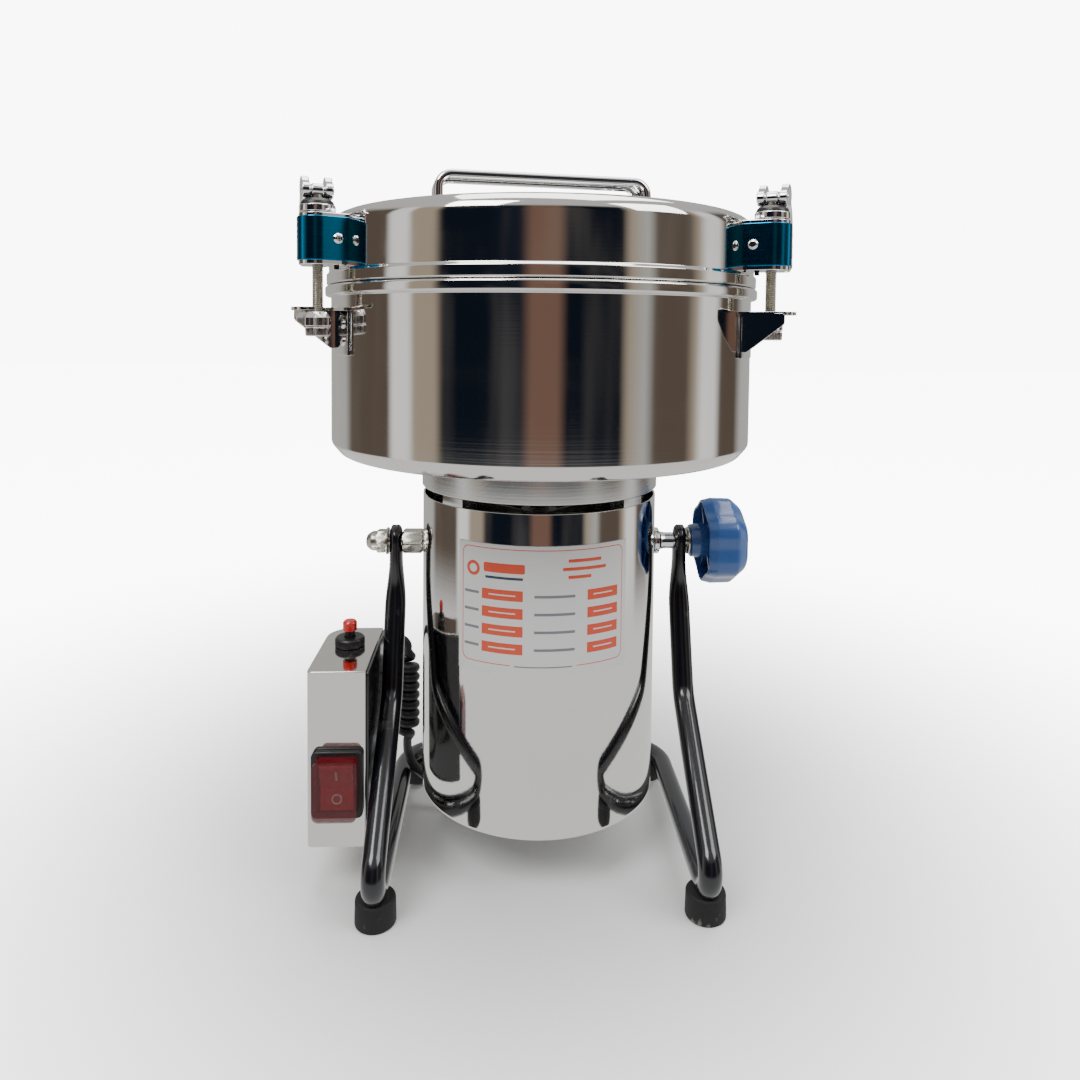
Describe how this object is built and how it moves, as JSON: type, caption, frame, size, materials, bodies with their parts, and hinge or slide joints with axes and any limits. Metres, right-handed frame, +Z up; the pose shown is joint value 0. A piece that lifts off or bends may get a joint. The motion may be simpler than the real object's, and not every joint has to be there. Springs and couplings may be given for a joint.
{
  "type": "swing-type hammer grinder",
  "caption": "Bench grain mill: a clamped round bowl with spinning blades over an upright motor, carried in a tilting tube stand with a switch box.",
  "frame": {"origin": "on the floor, under the middle of the machine's outline; the axis of the bowl and motor stands 1 mm left of it and 12 mm in front of it", "axes": "+Z up along the bowl and motor, -Y towards the front with the label and switch, +X to the side of the tilt knob"},
  "size_m": [0.2674, 0.2768, 0.402],
  "materials": {
    "mirror_steel": "polished stainless steel",
    "steel": "zinc plated and ground steel",
    "chrome": "bright plated",
    "aluminium": "turned casting",
    "blue_anodised": "blue anodised",
    "black_gloss": "gloss black powder coat",
    "rubber": "matt black",
    "cord_rubber": "satin black jacket",
    "black_plastic": "satin black",
    "blue_plastic": "glossy blue moulding",
    "red_plastic": "glossy red moulding",
    "red_clear": "dark red transparent soft plastic",
    "label": "printed film, no wording",
    "silicone": "food-grade silicone",
    "copper": "enamelled copper",
    "iron": "laminated iron",
    "brass": "brass on insulating board"
  },
  "bodies": {
    "stand": {"stand_tube": "black_gloss", "rubber_foot_front_left": "rubber", "rubber_foot_front_right": "rubber", "rubber_foot_rear_left": "rubber", "rubber_foot_rear_right": "rubber", "control_box_shell": "mirror_steel", "control_box_cover": "black_gloss", "switch_body": "black_plastic", "switch_cover": "red_clear", "circuit_breaker": "black_plastic", "cord_gland_box": "black_plastic", "cord_tail_box": "cord_rubber", "cord_coil": "cord_rubber", "cord_tail_motor": "cord_rubber"},
    "rocker": {"switch_rocker": "red_plastic"},
    "reset": {"reset_button": "red_plastic"},
    "head": {"motor_housing": "mirror_steel", "motor_bottom_cover": "aluminium", "motor_upper_bracket": "aluminium", "motor_lower_bracket": "aluminium", "stator_core": "iron", "field_winding_lower": "copper", "field_winding_upper": "copper", "motor_bearing_lower": "chrome", "motor_bearing_upper": "chrome", "brush_gear": "brass", "rating_label": "label", "pivot_standoff_left": "steel", "pivot_spindle_right": "steel", "pivot_acorn_nut": "steel", "cord_gland_motor": "black_plastic", "bowl": "mirror_steel", "shaft_seal": "silicone", "bowl_hook_front_left": "mirror_steel", "bowl_hook_front_right": "mirror_steel", "bowl_hook_rear": "mirror_steel"},
    "knob": {"tilt_knob": "blue_plastic"},
    "rotor": {"motor_shaft": "steel", "armature": "iron", "commutator": "copper", "cooling_fan": "aluminium", "blade_lower": "steel", "blade_middle": "steel", "blade_upper": "steel", "blade_nut": "chrome"},
    "lid": {"lid_shell": "mirror_steel", "lid_gasket": "silicone", "lid_handle": "chrome", "clamp_housing_front_left": "blue_anodised", "clamp_housing_front_right": "blue_anodised", "clamp_housing_rear": "blue_anodised"},
    "clamp_front_left": {"clamp_rod_front_left": "steel", "clamp_saddle_front_left": "black_plastic"},
    "lever_front_left": {"clamp_lever_front_left": "chrome"},
    "clamp_front_right": {"clamp_rod_front_right": "steel", "clamp_saddle_front_right": "black_plastic"},
    "lever_front_right": {"clamp_lever_front_right": "chrome"},
    "clamp_rear": {"clamp_rod_rear": "steel", "clamp_saddle_rear": "black_plastic"},
    "lever_rear": {"clamp_lever_rear": "chrome"}
  },
  "joints": [
    {"name": "head_tilt", "type": "hinge", "parent": "stand", "child": "head", "pos_m": [-0.00105, -0.0116, 0.18], "axis": [1, 0, 0], "range_deg": [-90, 80], "deforming": ["cord_tail_box", "cord_coil", "cord_tail_motor"]},
    {"name": "knob_turn", "type": "hinge", "parent": "head", "child": "knob", "pos_m": [0.09895, -0.0116, 0.18], "axis": [1, 0, 0], "continuous": true},
    {"name": "rotor_spin", "type": "hinge", "parent": "head", "child": "rotor", "pos_m": [-0.00105, -0.0116, 0.24], "axis": [0, 0, 1], "continuous": true},
    {"name": "lid_turn", "type": "hinge", "parent": "head", "child": "lid", "pos_m": [-0.00105, -0.0116, 0.34], "axis": [0, 0, 1], "range_deg": [0, 30]},
    {"name": "switch_rock", "type": "hinge", "parent": "stand", "child": "rocker", "pos_m": [-0.11155, -0.0689, 0.063], "axis": [-1, 0, 0], "range_deg": [0, 16]},
    {"name": "reset_press", "type": "slide", "parent": "stand", "child": "reset", "axis": [0, 0, -1], "range_m": [0, 0.0028], "stiffness_N_per_m": 400},
    {"name": "clamp_swivel_front_left", "type": "hinge", "parent": "lid", "child": "clamp_front_left", "pos_m": [-0.11969, -0.0801, 0.35], "axis": [0, 0, 1], "range_deg": [0, 150]},
    {"name": "lever_lift_front_left", "type": "hinge", "parent": "clamp_front_left", "child": "lever_front_left", "pos_m": [-0.11969, -0.0801, 0.38], "axis": [0.9397, 0.342, 0], "range_deg": [0, 130]},
    {"name": "clamp_swivel_front_right", "type": "hinge", "parent": "lid", "child": "clamp_front_right", "pos_m": [0.1176, -0.0801, 0.35], "axis": [0, 0, 1], "range_deg": [-165, 0]},
    {"name": "lever_lift_front_right", "type": "hinge", "parent": "clamp_front_right", "child": "lever_front_right", "pos_m": [0.1176, -0.0801, 0.38], "axis": [0.866, -0.5, 0], "range_deg": [0, 130]},
    {"name": "clamp_swivel_rear", "type": "hinge", "parent": "lid", "child": "clamp_rear", "pos_m": [-0.00105, 0.1254, 0.35], "axis": [0, 0, 1], "range_deg": [-165, 0]},
    {"name": "lever_lift_rear", "type": "hinge", "parent": "clamp_rear", "child": "lever_rear", "pos_m": [-0.00105, 0.1254, 0.38], "axis": [0, 1, 0], "range_deg": [0, 130]}
  ]
}
